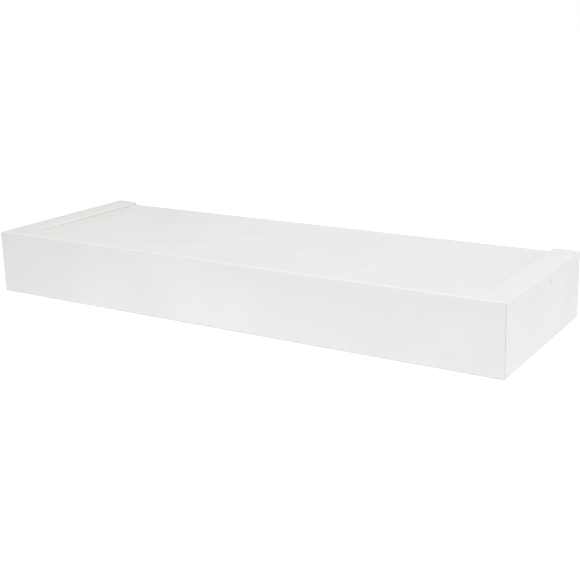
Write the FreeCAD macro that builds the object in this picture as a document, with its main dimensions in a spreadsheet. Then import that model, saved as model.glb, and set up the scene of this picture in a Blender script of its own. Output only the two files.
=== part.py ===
import FreeCAD, Part
import os
import Sketcher
from FreeCAD import Placement, Rotation, Vector

# Hollow floating wall shelf on a hidden steel bracket.
#
# Frame: origin on the wall, in the middle of the wall plate. +X runs along the wall to the right,
# -Y points out of the wall into the room, +Z is up. The wall is the plane Y = 0.

# ---------------------------------------------------------------- driving sizes, in millimetres
SIZES = [
    ("shelf_length", 609.6, "overall, along the wall"),
    ("shelf_depth", 203.2, "overall, out from the wall"),
    ("shelf_height", 69.85, "overall"),
    ("rail_thickness", 28.0, "front and end boards"),
    ("panel_recess", 3.5, "each panel below the edge of the boards"),
    ("panel_thickness", 12.0, "top and bottom panels"),
    ("shadow_gap", 0.5, "round the panel's shoulders"),
    ("tongue_thickness", 6.0, "edge of a panel, let into the boards"),
    ("tongue_length", 8.0, "edge of a panel, let into the boards"),
    ("groove_clearance", 0.2, "round the tongue"),
    ("outer_arris", 1.0, "rounding of the boards' outer edges, along their length"),
    ("inner_arris", 0.5, "rounding of the boards' inner edges"),
    ("panel_arris", 0.4, "rounding of a panel's shown edges"),
    ("seam_width", 0.45, "hairline left open at the mitre's outer edge"),
    ("seam_depth", 1.5, "hairline, in from the corner"),
    ("dowel_diameter", 6.0, "mitre dowel"),
    ("dowel_length", 20.0, "mitre dowel"),
    ("dowel_rows", 20.0, "upper dowel to lower dowel"),
    ("glue_clearance", 0.05, "round a dowel or brad"),
    ("dowel_end_clearance", 0.5, "past each end of a dowel"),
    ("brad_diameter", 1.6, "nail into a panel's edge"),
    ("brad_length", 38.0, "nail into a panel's edge"),
    ("brad_from_front", 116.0, "nail behind the shelf's front"),
    ("brad_point", 2.0, "nail's taper"),
    ("filler_diameter", 3.6, "putty over a nail"),
    ("filler_depth", 0.6, "nail's head below the surface"),
    ("filler_dimple", 0.15, "putty below the surface"),
    ("rear_batten_setback", 10.0, "rear batten off the wall"),
    ("batten_depth", 30.0, "each batten, out from the wall"),
    ("front_bay", 25.0, "inner batten to front board"),
    ("block_clearance", 1.0, "corner block to inner batten"),
    ("plate_thickness", 3.0, "wall plate"),
    ("plate_clearance", 1.425, "wall plate to each panel"),
    ("plate_end_clearance", 36.8, "wall plate to each end board"),
    ("plate_corner", 6.0, "rounding of the wall plate's corners"),
    ("screw_end_distance", 36.8, "wall screw to the plate's end"),
    ("screw_edge_distance", 5.5, "wall screw to the plate's edge"),
    ("screw_hole", 5.0, "hole in the wall plate"),
    ("screw_diameter", 4.5, "wall screw over its thread"),
    ("screw_neck", 4.0, "wall screw's plain neck, through the plate"),
    ("screw_length", 40.0, "wall screw under its head"),
    ("screw_point", 5.0, "wall screw's taper"),
    ("screw_head", 9.0, "wall screw's domed head"),
    ("screw_head_height", 3.0, "wall screw's domed head"),
    ("recess_span", 5.0, "cross recess in the head"),
    ("recess_width", 1.0, "cross recess in the head"),
    ("recess_depth", 1.8, "cross recess in the head"),
    ("rod_diameter", 12.0, "support rod"),
    ("rod_clearance", 0.3, "round a rod in its bore"),
    ("rod_to_screw", 53.2, "outer rods to the wall screws"),
    ("rod_stop_short", 2.0, "rod's tip behind the inner batten's face"),
    ("rod_tip_chamfer", 1.5, "rod's lead-in"),
    ("weld_leg", 3.0, "bead round a rod's foot"),
    ("lock_screw_diameter", 6.0, "set screw"),
    ("lock_screw_chamfer", 0.8, "set screw's ends"),
    ("lock_screw_inset", 0.125, "set screw above the underside"),
    ("lock_seat_gap", 0.3, "set screw below its rod"),
    ("lock_hole_clearance", 0.3, "round the set screw in the batten"),
    ("thread_clearance", 0.08, "round the set screw in its bush"),
    ("socket_width", 3.0, "hexagon socket, across its flats"),
    ("socket_depth", 3.5, "hexagon socket"),
    ("bush_diameter", 9.0, "threaded bush in the underside"),
]
# Cuts run this far past the surface that they open, and leave no skin on it.
OVERRUN = 5.0

doc = FreeCAD.newDocument("floating_shelf")
sheet = doc.addObject("Spreadsheet::Sheet", "Size")
for row, (alias, millimetres, note) in enumerate(SIZES, start=1):
    sheet.set(f"A{row}", alias)
    sheet.set(f"B{row}", str(millimetres))
    sheet.setAlias(f"B{row}", alias)
    sheet.set(f"C{row}", note)
doc.recompute()

# ---------------------------------------------------------------- places worked out from the sizes
HALF_LENGTH = "Size.shelf_length / 2"
HALF_HEIGHT = "Size.shelf_height / 2"
RAIL = "Size.rail_thickness"
FRONT = "(-Size.shelf_depth)"
FRONT_INNER = f"({FRONT} + {RAIL})"
END_INNER = f"({HALF_LENGTH} - {RAIL})"
PANEL_FACE = f"({HALF_HEIGHT} - Size.panel_recess)"
PANEL_BACK = f"({PANEL_FACE} - Size.panel_thickness)"
PANEL_MIDDLE = f"({PANEL_FACE} - Size.panel_thickness / 2)"
TONGUE_TOP = f"({PANEL_MIDDLE} + Size.tongue_thickness / 2)"
TONGUE_BASE = f"({PANEL_MIDDLE} - Size.tongue_thickness / 2)"
REAR_BATTEN_BACK = "(-Size.rear_batten_setback)"
REAR_BATTEN_FACE = f"({REAR_BATTEN_BACK} - Size.batten_depth)"
REAR_BATTEN_MIDDLE = f"({REAR_BATTEN_BACK} - Size.batten_depth / 2)"
INNER_BATTEN_FACE = f"({FRONT_INNER} + Size.front_bay)"
INNER_BATTEN_BACK = f"({INNER_BATTEN_FACE} + Size.batten_depth)"
PLATE_HALF_LENGTH = f"({END_INNER} - Size.plate_end_clearance)"
PLATE_HALF_HEIGHT = f"({PANEL_BACK} - Size.plate_clearance)"
PLATE_FACE = "(-Size.plate_thickness)"
SCREW_ACROSS = f"({PLATE_HALF_LENGTH} - Size.screw_end_distance)"
SCREW_UP = f"({PLATE_HALF_HEIGHT} - Size.screw_edge_distance)"
ROD_ACROSS = f"({SCREW_ACROSS} - Size.rod_to_screw)"
ROD_TIP = f"({INNER_BATTEN_FACE} + Size.rod_stop_short)"
ROD_RADIUS = "Size.rod_diameter / 2"
ROD_BORE_RADIUS = f"({ROD_RADIUS} + Size.rod_clearance)"
LOCK_TOP = f"(-{ROD_RADIUS} - Size.lock_seat_gap)"
LOCK_BASE = f"(-{PANEL_FACE} + Size.lock_screw_inset)"
LOCK_RADIUS = "Size.lock_screw_diameter / 2"
BUSH_BORE_RADIUS = f"({LOCK_RADIUS} + Size.thread_clearance)"
BRAD_LINE = f"({FRONT} + Size.brad_from_front)"
BRAD_HEAD = f"({HALF_LENGTH} - Size.filler_depth)"
BRAD_TIP = f"({BRAD_HEAD} - Size.brad_length)"
BRAD_HOLE_RADIUS = "(Size.brad_diameter / 2 + Size.glue_clearance)"
DOWEL_UP = "Size.dowel_rows / 2"
DOWEL_HOLE_RADIUS = "(Size.dowel_diameter / 2 + Size.glue_clearance)"
SEAM_SIDE = "(Size.seam_width / (2 * sqrt(2)))"
SEAM_REACH = "(Size.seam_depth / sqrt(2))"

UPRIGHT = Rotation()
INTO_WALL = Rotation(Vector(0, 0, 1), Vector(0, 1, 0))
OUT_OF_WALL = Rotation(Vector(0, 0, 1), Vector(0, -1, 0))


def value(expression):
    """An expression of the sheet as a number."""
    return float(sheet.evalExpression(expression))


def times(side, expression):
    """The same expression on the left (-1) or on the right (+1)."""
    return f"({side} * ({expression}))"


# ---------------------------------------------------------------- PartDesign helpers
def new_body(label):
    return doc.addObject("PartDesign::Body", label)


def attach(feature, body, role):
    """Lay a sketch or a primitive on one of its own body's origin planes."""
    plane = next(item for item in body.Origin.OriginFeatures if item.Role == role)
    feature.AttachmentSupport = [(plane, "")]
    feature.MapMode = "FlatFace"


def new_sketch(body, role, offset):
    """Empty sketch, offset along its plane's normal: +Z on XY, -Y on XZ, +X on YZ."""
    sketch = body.newObject("Sketcher::SketchObject", f"{body.Label}_sketch")
    attach(sketch, body, role)
    sketch.setExpression("AttachmentOffset.Base.z", offset)
    return sketch


def pin_point(sketch, line, point, corner):
    """Dimension one point of a sketch from the sketch's origin by two expressions."""
    for kind, expression in zip(("DistanceX", "DistanceY"), corner):
        index = sketch.addConstraint(
            Sketcher.Constraint(kind, -1, 1, line, point, value(expression)))
        name = f"{kind}_{line}"
        sketch.renameConstraint(index, name)
        sketch.setExpression(f"Constraints.{name}", expression)


def draw_outline(sketch, corners):
    """Closed outline of straight lines through the corners, added to the sketch."""
    first = sketch.GeometryCount
    points = [Vector(value(across), value(up), 0) for across, up in corners]
    lines = [first + index for index in range(len(points))]
    for start, end in zip(points, points[1:] + points[:1]):
        sketch.addGeometry(Part.LineSegment(start, end))
    for line, following in zip(lines, lines[1:] + lines[:1]):
        sketch.addConstraint(Sketcher.Constraint("Coincident", line, 2, following, 1))
    for line, corner in zip(lines, corners):
        pin_point(sketch, line, 1, corner)


def rectangle(low_across, high_across, low_up, high_up):
    return [(low_across, low_up), (high_across, low_up),
            (high_across, high_up), (low_across, high_up)]


def draw_circle(sketch, centre, radius):
    """Circle with its centre pinned and its radius bound, added to the sketch."""
    middle = Vector(value(centre[0]), value(centre[1]), 0)
    circle = sketch.addGeometry(Part.Circle(middle, Vector(0, 0, 1), value(radius)))
    pin_point(sketch, circle, 3, centre)
    index = sketch.addConstraint(Sketcher.Constraint("Radius", circle, value(radius)))
    name = f"Radius_{circle}"
    sketch.renameConstraint(index, name)
    sketch.setExpression(f"Constraints.{name}", radius)


def pad(body, role, offset, corners, length):
    """Pad an outline along its plane's normal from the offset."""
    sketch = new_sketch(body, role, offset)
    draw_outline(sketch, corners)
    feature = body.newObject("PartDesign::Pad", f"{body.Label}_pad")
    feature.Profile = sketch
    feature.setExpression("Length", length)
    doc.recompute()
    return feature


def pocket(body, sketch, length, along_normal=False):
    """Pocket a sketch against its normal, or along it, and see that it does cut."""
    before = body.Shape.Volume
    feature = body.newObject("PartDesign::Pocket", f"{body.Label}_pocket")
    feature.Profile = sketch
    feature.Reversed = along_normal
    feature.setExpression("Length", length)
    doc.recompute()
    if not body.Shape.Volume < before:
        raise RuntimeError(f"{feature.Label} cuts nothing")
    return feature


def bore(body, radius, depth, place, direction):
    """Round hole that starts at the place and runs in the direction."""
    before = body.Shape.Volume
    feature = body.newObject("PartDesign::SubtractiveCylinder", f"{body.Label}_bore")
    attach(feature, body, "XY_Plane")
    feature.AttachmentOffset = Placement(Vector(), Rotation(Vector(0, 0, 1), direction))
    for letter, expression in zip("xyz", place):
        feature.setExpression(f"AttachmentOffset.Base.{letter}", expression)
    feature.setExpression("Radius", radius)
    feature.setExpression("Height", depth)
    doc.recompute()
    if not body.Shape.Volume < before:
        raise RuntimeError(f"{feature.Label} cuts nothing")
    return feature


def round_edges(body, radius, wanted):
    """Fillet each edge whose two ends satisfy the test."""
    base = body.Tip
    names = [f"Edge{index}" for index, edge in enumerate(base.Shape.Edges, start=1)
             if wanted([vertex.Point for vertex in edge.Vertexes])]
    feature = body.newObject("PartDesign::Fillet", f"{body.Label}_fillet")
    feature.Base = (base, names)
    feature.setExpression("Radius", radius)
    doc.recompute()
    return feature


def near(length, other):
    return abs(length - other) < 0.01


# ---------------------------------------------------------------- Part helpers
def solid(kind, label, place, rotation=UPRIGHT, **sizes):
    """Part primitive whose place and sizes are expressions of the sheet."""
    primitive = doc.addObject(f"Part::{kind}", label)
    primitive.Placement = Placement(Vector(), rotation)
    for letter, expression in zip("xyz", place):
        primitive.setExpression(f"Placement.Base.{letter}", expression)
    for name, expression in sizes.items():
        primitive.setExpression(name, expression)
    return primitive


def cut(label, base, tool):
    result = doc.addObject("Part::Cut", label)
    result.Base = base
    result.Tool = tool
    return result


def fuse(label, *members):
    result = doc.addObject("Part::MultiFuse", label)
    result.Shapes = list(members)
    result.Refine = True
    return result


def group(label, *members):
    result = doc.addObject("Part::Compound", label)
    result.Links = list(members)
    return result


def mirrored(source, normal):
    """Mirror image in the plane through the origin with this normal."""
    result = doc.addObject("Part::Mirroring", f"{source.Label}_mirror")
    result.Source = source
    result.Normal = normal
    return result


def four_of(label, one):
    """The piece, its image at the other end, and both again below."""
    pair = group(f"{one.Label}_pair", one, mirrored(one, Vector(1, 0, 0)))
    return group(label, pair, mirrored(pair, Vector(0, 0, 1)))


# ---------------------------------------------------------------- boards of the frame
def mitre_cut(body, side, front_board):
    """Take the corner off beyond the mitre, and this board's half of the hairline."""
    outer = (times(side, f"{HALF_LENGTH} + {OVERRUN}"), f"{FRONT} - {OVERRUN}")
    inner = (times(side, f"{END_INNER} - {OVERRUN}"), f"{FRONT_INNER} + {OVERRUN}")
    waste = (outer[0], inner[1]) if front_board else (inner[0], outer[1])
    corner = new_sketch(body, "XY_Plane", HALF_HEIGHT)
    draw_outline(corner, [outer, inner, waste])
    pocket(body, corner, "Size.shelf_height")

    deep = (times(side, f"{HALF_LENGTH} - {SEAM_REACH}"), f"{FRONT} + {SEAM_REACH}")
    away = -1 if front_board else 1
    walls = [(f"{across} + {times(side * away, SEAM_SIDE)}", f"{out} + {times(away, SEAM_SIDE)}")
             for across, out in (deep, outer)]
    hairline = new_sketch(body, "XY_Plane", HALF_HEIGHT)
    draw_outline(hairline, [outer, deep, *walls])
    pocket(body, hairline, "Size.shelf_height")


def dowel_holes(body, side, front_board):
    """Two blind holes square to the mitre, one above the other."""
    out = -1 if front_board else 1
    direction = Vector(side * out, out, 0)
    for up in (1, -1):
        place = (times(side, f"{HALF_LENGTH} - {RAIL} / 2"), f"{FRONT} + {RAIL} / 2",
                 times(up, DOWEL_UP))
        bore(body, DOWEL_HOLE_RADIUS, "Size.dowel_length / 2 + Size.dowel_end_clearance",
             place, direction)


def groove_outline(sketch, low, high, level):
    """Groove for one panel's tongue, above (+1) or below (-1) the middle."""
    base = times(level, f"{TONGUE_BASE} - Size.groove_clearance")
    top = times(level, f"{TONGUE_TOP} + Size.groove_clearance")
    draw_outline(sketch, rectangle(low, high, base, top))


def make_front_rail():
    body = new_body("front_rail")
    plan = rectangle(times(-1, HALF_LENGTH), HALF_LENGTH, FRONT, FRONT_INNER)
    pad(body, "XY_Plane", times(-1, HALF_HEIGHT), plan, "Size.shelf_height")
    back, face, level = value(FRONT_INNER), value(FRONT), value(HALF_HEIGHT)
    round_edges(body, "Size.outer_arris",
                lambda ends: all(near(end.y, face) and near(abs(end.z), level) for end in ends)
                and not near(ends[0].x, ends[1].x))
    for side in (-1, 1):
        mitre_cut(body, side, True)
    round_edges(body, "Size.inner_arris",
                lambda ends: all(near(end.y, back) and near(abs(end.z), level) for end in ends))
    grooves = new_sketch(body, "YZ_Plane", HALF_LENGTH)
    for upper in (1, -1):
        groove_outline(grooves, f"{FRONT_INNER} - Size.tongue_length - Size.groove_clearance",
                       f"{FRONT_INNER} + {OVERRUN}", upper)
    pocket(body, grooves, "Size.shelf_length")
    for side in (-1, 1):
        dowel_holes(body, side, True)
    return body


def make_end_rail(label, side):
    body = new_body(label)
    outer = times(side, HALF_LENGTH)
    inner = times(side, END_INNER)
    pad(body, "XY_Plane", times(-1, HALF_HEIGHT), rectangle(inner, outer, FRONT, "0"),
        "Size.shelf_height")
    level = value(HALF_HEIGHT)

    def edges_along(side_face):
        return lambda ends: (all(near(end.x, side_face) and near(abs(end.z), level)
                                 for end in ends) and not near(ends[0].y, ends[1].y))

    round_edges(body, "Size.outer_arris", edges_along(value(outer)))
    mitre_cut(body, side, False)
    round_edges(body, "Size.inner_arris", edges_along(value(inner)))
    grooves = new_sketch(body, "XZ_Plane", times(-1, FRONT))
    for upper in (1, -1):
        groove_outline(grooves,
                       times(side, f"{END_INNER} - {OVERRUN}"),
                       times(side, f"{END_INNER} + Size.tongue_length + Size.groove_clearance"),
                       upper)
    pocket(body, grooves, "Size.shelf_depth")
    dowel_holes(body, side, False)
    for upper in (1, -1):
        place = (outer, BRAD_LINE, times(upper, PANEL_MIDDLE))
        inward = Vector(-side, 0, 0)
        bore(body, BRAD_HOLE_RADIUS, RAIL, place, inward)
        bore(body, "Size.filler_diameter / 2", "Size.filler_depth", place, inward)
    return body


# ---------------------------------------------------------------- panels
def make_panel(label, level):
    """Tongued panel, the top one at level +1 and the bottom one at level -1."""
    body = new_body(label)
    shoulder = f"{END_INNER} - Size.shadow_gap"
    plan = rectangle(times(-1, shoulder), shoulder, f"{FRONT_INNER} + Size.shadow_gap", "0")
    lower = PANEL_BACK if level > 0 else times(-1, PANEL_FACE)
    pad(body, "XY_Plane", lower, plan, "Size.panel_thickness")
    face = level * value(PANEL_FACE)
    round_edges(body, "Size.panel_arris",
                lambda ends: all(near(end.z, face) for end in ends)
                and not all(near(end.y, 0) for end in ends))
    tip = f"{END_INNER} + Size.tongue_length"
    tongue = rectangle(times(-1, tip), tip, f"{FRONT_INNER} - Size.tongue_length", "0")
    tongue_lower = TONGUE_BASE if level > 0 else times(-1, TONGUE_TOP)
    pad(body, "XY_Plane", tongue_lower, tongue, "Size.tongue_thickness")
    for side in (-1, 1):
        place = (times(side, tip), BRAD_LINE, times(level, PANEL_MIDDLE))
        bore(body, BRAD_HOLE_RADIUS, f"{tip} - {BRAD_TIP} + Size.glue_clearance",
             place, Vector(-side, 0, 0))
    return body


def cut_bush_holes(body):
    """Holes in the bottom panel for the threaded bushes of the lock screws."""
    sketch = new_sketch(body, "XY_Plane", times(-1, PANEL_BACK))
    for side in (-1, 1):
        draw_circle(sketch, (times(side, ROD_ACROSS), REAR_BATTEN_MIDDLE),
                    "Size.bush_diameter / 2 + Size.glue_clearance")
    pocket(body, sketch, "Size.panel_thickness")


# ---------------------------------------------------------------- inside
def make_batten(label, face, back):
    """Batten between the panels and the end boards, bored for the three rods."""
    body = new_body(label)
    plan = rectangle(times(-1, END_INNER), END_INNER, face, back)
    pad(body, "XY_Plane", times(-1, PANEL_BACK), plan, f"2 * {PANEL_BACK}")
    bores = new_sketch(body, "XZ_Plane", times(-1, face))
    for side in (-1, 0, 1):
        draw_circle(bores, (times(side, ROD_ACROSS), "0"), ROD_BORE_RADIUS)
    pocket(body, bores, "Size.batten_depth")
    return body


def cut_lock_holes(body):
    """Holes in the rear batten that let the lock screws up to the rods."""
    sketch = new_sketch(body, "XY_Plane", times(-1, PANEL_BACK))
    for side in (-1, 1):
        draw_circle(sketch, (times(side, ROD_ACROSS), REAR_BATTEN_MIDDLE),
                    f"{LOCK_RADIUS} + Size.lock_hole_clearance")
    pocket(body, sketch, PANEL_BACK, along_normal=True)


def make_corner_block(label, side):
    body = new_body(label)
    leg = "(Size.front_bay - Size.block_clearance)"
    plan = [(times(side, END_INNER), FRONT_INNER),
            (times(side, f"{END_INNER} - {leg}"), FRONT_INNER),
            (times(side, END_INNER), f"{FRONT_INNER} + {leg}")]
    pad(body, "XY_Plane", times(-1, PANEL_BACK), plan, f"2 * {PANEL_BACK}")
    return body


def make_mitre_dowels():
    middle = (f"{HALF_LENGTH} - {RAIL} / 2 - Size.dowel_length / (2 * sqrt(2))",
              f"{FRONT} + {RAIL} / 2 - Size.dowel_length / (2 * sqrt(2))", DOWEL_UP)
    dowel = solid("Cylinder", "mitre_dowel", middle, Rotation(Vector(0, 0, 1), Vector(1, 1, 0)),
                  Radius="Size.dowel_diameter / 2", Height="Size.dowel_length")
    return four_of("mitre_dowels", dowel)


def make_brads():
    inward = Rotation(Vector(0, 0, 1), Vector(-1, 0, 0))
    radius = "Size.brad_diameter / 2"
    shank = solid("Cylinder", "brad_shank", (BRAD_HEAD, BRAD_LINE, PANEL_MIDDLE), inward,
                  Radius=radius, Height="Size.brad_length - Size.brad_point")
    point = solid("Cone", "brad_point", (f"{BRAD_TIP} + Size.brad_point", BRAD_LINE, PANEL_MIDDLE),
                  inward, Radius1=radius, Radius2=f"{radius} / 4", Height="Size.brad_point")
    return four_of("brads", fuse("brad", shank, point))


def make_nail_fillers():
    inward = Rotation(Vector(0, 0, 1), Vector(-1, 0, 0))
    place = (f"{HALF_LENGTH} - Size.filler_dimple", BRAD_LINE, PANEL_MIDDLE)
    filler = solid("Cylinder", "nail_filler", place, inward, Radius="Size.filler_diameter / 2",
                   Height="Size.filler_depth - Size.filler_dimple")
    return four_of("nail_fillers", filler)


def make_lock_bush(label, side):
    place = (times(side, ROD_ACROSS), REAR_BATTEN_MIDDLE, times(-1, PANEL_FACE))
    blank = solid("Cylinder", f"{label}_blank", place, Radius="Size.bush_diameter / 2",
                  Height="Size.panel_thickness")
    thread = solid("Cylinder", f"{label}_thread", place, Radius=BUSH_BORE_RADIUS,
                   Height="Size.panel_thickness")
    return cut(label, blank, thread)


def make_lock_screw(label, side):
    """Set screw with a chamfer at each end and a hexagon socket in its lower end."""
    across = times(side, ROD_ACROSS)
    chamfer = "Size.lock_screw_chamfer"
    waist = solid("Cylinder", f"{label}_waist",
                  (across, REAR_BATTEN_MIDDLE, f"{LOCK_BASE} + {chamfer}"),
                  Radius=LOCK_RADIUS, Height=f"{LOCK_TOP} - {LOCK_BASE} - 2 * {chamfer}")
    lower = solid("Cone", f"{label}_lower", (across, REAR_BATTEN_MIDDLE, LOCK_BASE),
                  Radius1=f"{LOCK_RADIUS} - {chamfer}", Radius2=LOCK_RADIUS, Height=chamfer)
    upper = solid("Cone", f"{label}_upper",
                  (across, REAR_BATTEN_MIDDLE, f"{LOCK_TOP} - {chamfer}"),
                  Radius1=LOCK_RADIUS, Radius2=f"{LOCK_RADIUS} - {chamfer}", Height=chamfer)
    socket = solid("Prism", f"{label}_socket", (across, REAR_BATTEN_MIDDLE, LOCK_BASE),
                   Circumradius="Size.socket_width / sqrt(3)", Height="Size.socket_depth")
    socket.Polygon = 6
    return cut(label, fuse(f"{label}_blank", waist, lower, upper), socket)


# ---------------------------------------------------------------- bracket
def make_wall_plate():
    body = new_body("wall_plate")
    outline = rectangle(times(-1, PLATE_HALF_LENGTH), PLATE_HALF_LENGTH,
                        times(-1, PLATE_HALF_HEIGHT), PLATE_HALF_HEIGHT)
    pad(body, "XZ_Plane", "0", outline, "Size.plate_thickness")
    round_edges(body, "Size.plate_corner", lambda ends: not near(ends[0].y, ends[1].y))
    holes = new_sketch(body, "XZ_Plane", "Size.plate_thickness")
    for side in (-1, 1):
        for up in (-1, 1):
            draw_circle(holes, (times(side, SCREW_ACROSS), times(up, SCREW_UP)),
                        "Size.screw_hole / 2")
    pocket(body, holes, "Size.plate_thickness")
    return body


def make_support_rod(label, side):
    """Rod from the plate's face, with a chamfered tip."""
    across = times(side, ROD_ACROSS)
    length = f"({PLATE_FACE} - {ROD_TIP} - Size.rod_tip_chamfer)"
    shank = solid("Cylinder", f"{label}_shank", (across, PLATE_FACE, "0"), OUT_OF_WALL,
                  Radius=ROD_RADIUS, Height=length)
    tip = solid("Cone", f"{label}_tip", (across, f"{ROD_TIP} + Size.rod_tip_chamfer", "0"),
                OUT_OF_WALL, Radius1=ROD_RADIUS, Radius2=f"{ROD_RADIUS} - Size.rod_tip_chamfer",
                Height="Size.rod_tip_chamfer")
    return fuse(label, shank, tip)


def make_rod_welds():
    beads = []
    for number, side in enumerate((-1, 0, 1), start=1):
        foot = (times(side, ROD_ACROSS), PLATE_FACE, "0")
        bead = solid("Cone", f"weld_{number}_bead", foot, OUT_OF_WALL,
                     Radius1=f"{ROD_RADIUS} + Size.weld_leg",
                     Radius2=f"{ROD_RADIUS} + Size.weld_leg / 8", Height="Size.weld_leg")
        core = solid("Cylinder", f"weld_{number}_core", foot, OUT_OF_WALL,
                     Radius=ROD_RADIUS, Height="Size.weld_leg")
        beads.append(cut(f"weld_{number}", bead, core))
    return group("rod_welds", *beads)


def make_wall_screws():
    """Domed, cross recessed heads on the plate's face, with the threads in the wall behind it."""
    radius = "Size.screw_diameter / 2"
    thread_reach = f"(Size.screw_length - Size.screw_point + {PLATE_FACE})"
    dome_radius = ("((Size.screw_head / 2)^2 + Size.screw_head_height^2)"
                   " / (2 * Size.screw_head_height)")
    neck = solid("Cylinder", "screw_neck", (SCREW_ACROSS, PLATE_FACE, SCREW_UP), INTO_WALL,
                 Radius="Size.screw_neck / 2", Height="Size.plate_thickness")
    thread = solid("Cylinder", "screw_thread", (SCREW_ACROSS, "0", SCREW_UP), INTO_WALL,
                   Radius=radius, Height=thread_reach)
    point = solid("Cone", "screw_point", (SCREW_ACROSS, thread_reach, SCREW_UP), INTO_WALL,
                  Radius1=radius, Radius2=f"{radius} / 4", Height="Size.screw_point")
    top = f"({PLATE_FACE} - Size.screw_head_height)"
    ball = solid("Sphere", "screw_ball", (SCREW_ACROSS, f"{top} + {dome_radius}", SCREW_UP),
                 Radius=dome_radius)
    slab = solid("Cylinder", "screw_slab", (SCREW_ACROSS, f"{top} - {OVERRUN}", SCREW_UP),
                 INTO_WALL, Radius="Size.screw_head",
                 Height=f"Size.screw_head_height + {OVERRUN}")
    head = doc.addObject("Part::Common", "screw_head")
    head.Base = ball
    head.Tool = slab
    recess = []
    for number, (wide, tall) in enumerate((("span", "width"), ("width", "span")), start=1):
        wide_size, tall_size = f"Size.recess_{wide}", f"Size.recess_{tall}"
        corner = (f"{SCREW_ACROSS} - {wide_size} / 2", top, f"{SCREW_UP} - {tall_size} / 2")
        recess.append(solid("Box", f"screw_recess_{number}", corner, Length=wide_size,
                            Width="Size.recess_depth", Height=tall_size))
    screw = cut("wall_screw", fuse("screw_blank", neck, thread, point, head),
                fuse("screw_recess", *recess))
    return four_of("wall_screws", screw)


# ---------------------------------------------------------------- the whole shelf
top_panel = make_panel("top_panel", 1)
bottom_panel = make_panel("bottom_panel", -1)
cut_bush_holes(bottom_panel)
rear_batten = make_batten("rear_batten", REAR_BATTEN_FACE, REAR_BATTEN_BACK)
cut_lock_holes(rear_batten)

pieces = [
    make_front_rail(),
    make_end_rail("left_end_rail", -1),
    make_end_rail("right_end_rail", 1),
    top_panel,
    bottom_panel,
    rear_batten,
    make_batten("inner_batten", INNER_BATTEN_FACE, INNER_BATTEN_BACK),
    make_corner_block("corner_block_left", -1),
    make_corner_block("corner_block_right", 1),
    make_mitre_dowels(),
    make_brads(),
    make_nail_fillers(),
    make_lock_bush("lock_insert_left", -1),
    make_lock_bush("lock_insert_right", 1),
    make_lock_screw("lock_screw_left", -1),
    make_lock_screw("lock_screw_right", 1),
    make_wall_plate(),
    make_support_rod("support_rod_left", -1),
    make_support_rod("support_rod_centre", 0),
    make_support_rod("support_rod_right", 1),
    make_rod_welds(),
    make_wall_screws(),
]
doc.recompute()

# ---------------------------------------------------------------- check, then write
for item in doc.Objects:
    if {"Invalid", "Error"} & set(item.State):
        raise RuntimeError(f"{item.Label}: {item.State}")
for piece in pieces:
    if piece.Shape.isNull() or not piece.Shape.isValid():
        raise RuntimeError(f"{piece.Label} has no valid shape")

os.makedirs("parts", exist_ok=True)
for piece in pieces:
    piece.Shape.exportStep(f"parts/{piece.Label}.step")
    print(f"{piece.Label}: {len(piece.Shape.Solids)} solid(s), {piece.Shape.Volume:.1f} mm3")
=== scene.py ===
import math

import bmesh
import bpy
from mathutils import Matrix, Vector, noise


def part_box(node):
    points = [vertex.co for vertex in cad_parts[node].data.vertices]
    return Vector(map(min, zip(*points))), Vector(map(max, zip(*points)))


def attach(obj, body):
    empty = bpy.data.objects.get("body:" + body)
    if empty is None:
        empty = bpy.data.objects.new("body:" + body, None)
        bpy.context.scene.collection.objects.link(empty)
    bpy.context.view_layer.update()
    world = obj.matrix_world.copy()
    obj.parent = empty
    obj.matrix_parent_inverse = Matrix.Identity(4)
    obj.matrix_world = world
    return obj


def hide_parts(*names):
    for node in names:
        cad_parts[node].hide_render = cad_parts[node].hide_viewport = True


# Finish of a white floating shelf: sprayed MDF boards on a hidden steel bracket.
# The row frame: X along the wall, -Y out of the wall, Z up. It is in metres.
MM = 0.001

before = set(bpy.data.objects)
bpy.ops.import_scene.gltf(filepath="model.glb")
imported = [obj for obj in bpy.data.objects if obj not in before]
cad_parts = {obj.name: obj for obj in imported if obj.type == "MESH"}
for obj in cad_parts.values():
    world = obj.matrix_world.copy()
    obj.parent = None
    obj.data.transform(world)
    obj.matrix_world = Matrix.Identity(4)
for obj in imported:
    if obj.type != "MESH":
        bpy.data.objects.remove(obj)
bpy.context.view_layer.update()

# ---------------------------------------------------------------- places taken from the frame
end_low, end_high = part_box("right_end_rail")
rod_low, rod_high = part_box("support_rod_right")
lock_low, lock_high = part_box("lock_screw_right")
bush_low, bush_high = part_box("lock_insert_right")
filler_low, filler_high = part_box("nail_fillers")
wall_screw_low, wall_screw_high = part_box("wall_screws")
dowel_low, dowel_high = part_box("mitre_dowels")

HALF_LENGTH = end_high.x
HALF_HEIGHT = end_high.z
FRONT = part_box("front_rail")[0].y
BAND = HALF_LENGTH - end_low.x
PANEL_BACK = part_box("top_panel")[0].z
PLATE_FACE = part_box("wall_plate")[0].y
WELD_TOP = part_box("rod_welds")[1].z
ROD_ACROSS = (rod_low.x + rod_high.x) / 2
ROD_RADIUS = rod_high.z
LOCK_LINE = (lock_low.y + lock_high.y) / 2
NAIL_LINE = (filler_low.y + filler_high.y) / 2
NAIL_RADIUS = (filler_high.y - filler_low.y) / 2
NAIL_UP = filler_high.z - NAIL_RADIUS

INTO_WALL = Matrix.Rotation(math.radians(-90), 4, "X")
OUT_OF_WALL = Matrix.Rotation(math.radians(90), 4, "X")


# ---------------------------------------------------------------- shader helpers
def colour(hex_code):
    """An sRGB hex code as the linear colour that a socket takes."""
    shares = [int(hex_code[start:start + 2], 16) / 255 for start in (1, 3, 5)]
    linear = [share / 12.92 if share <= 0.04045 else ((share + 0.055) / 1.055) ** 2.4
              for share in shares]
    return (*linear, 1.0)


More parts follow.
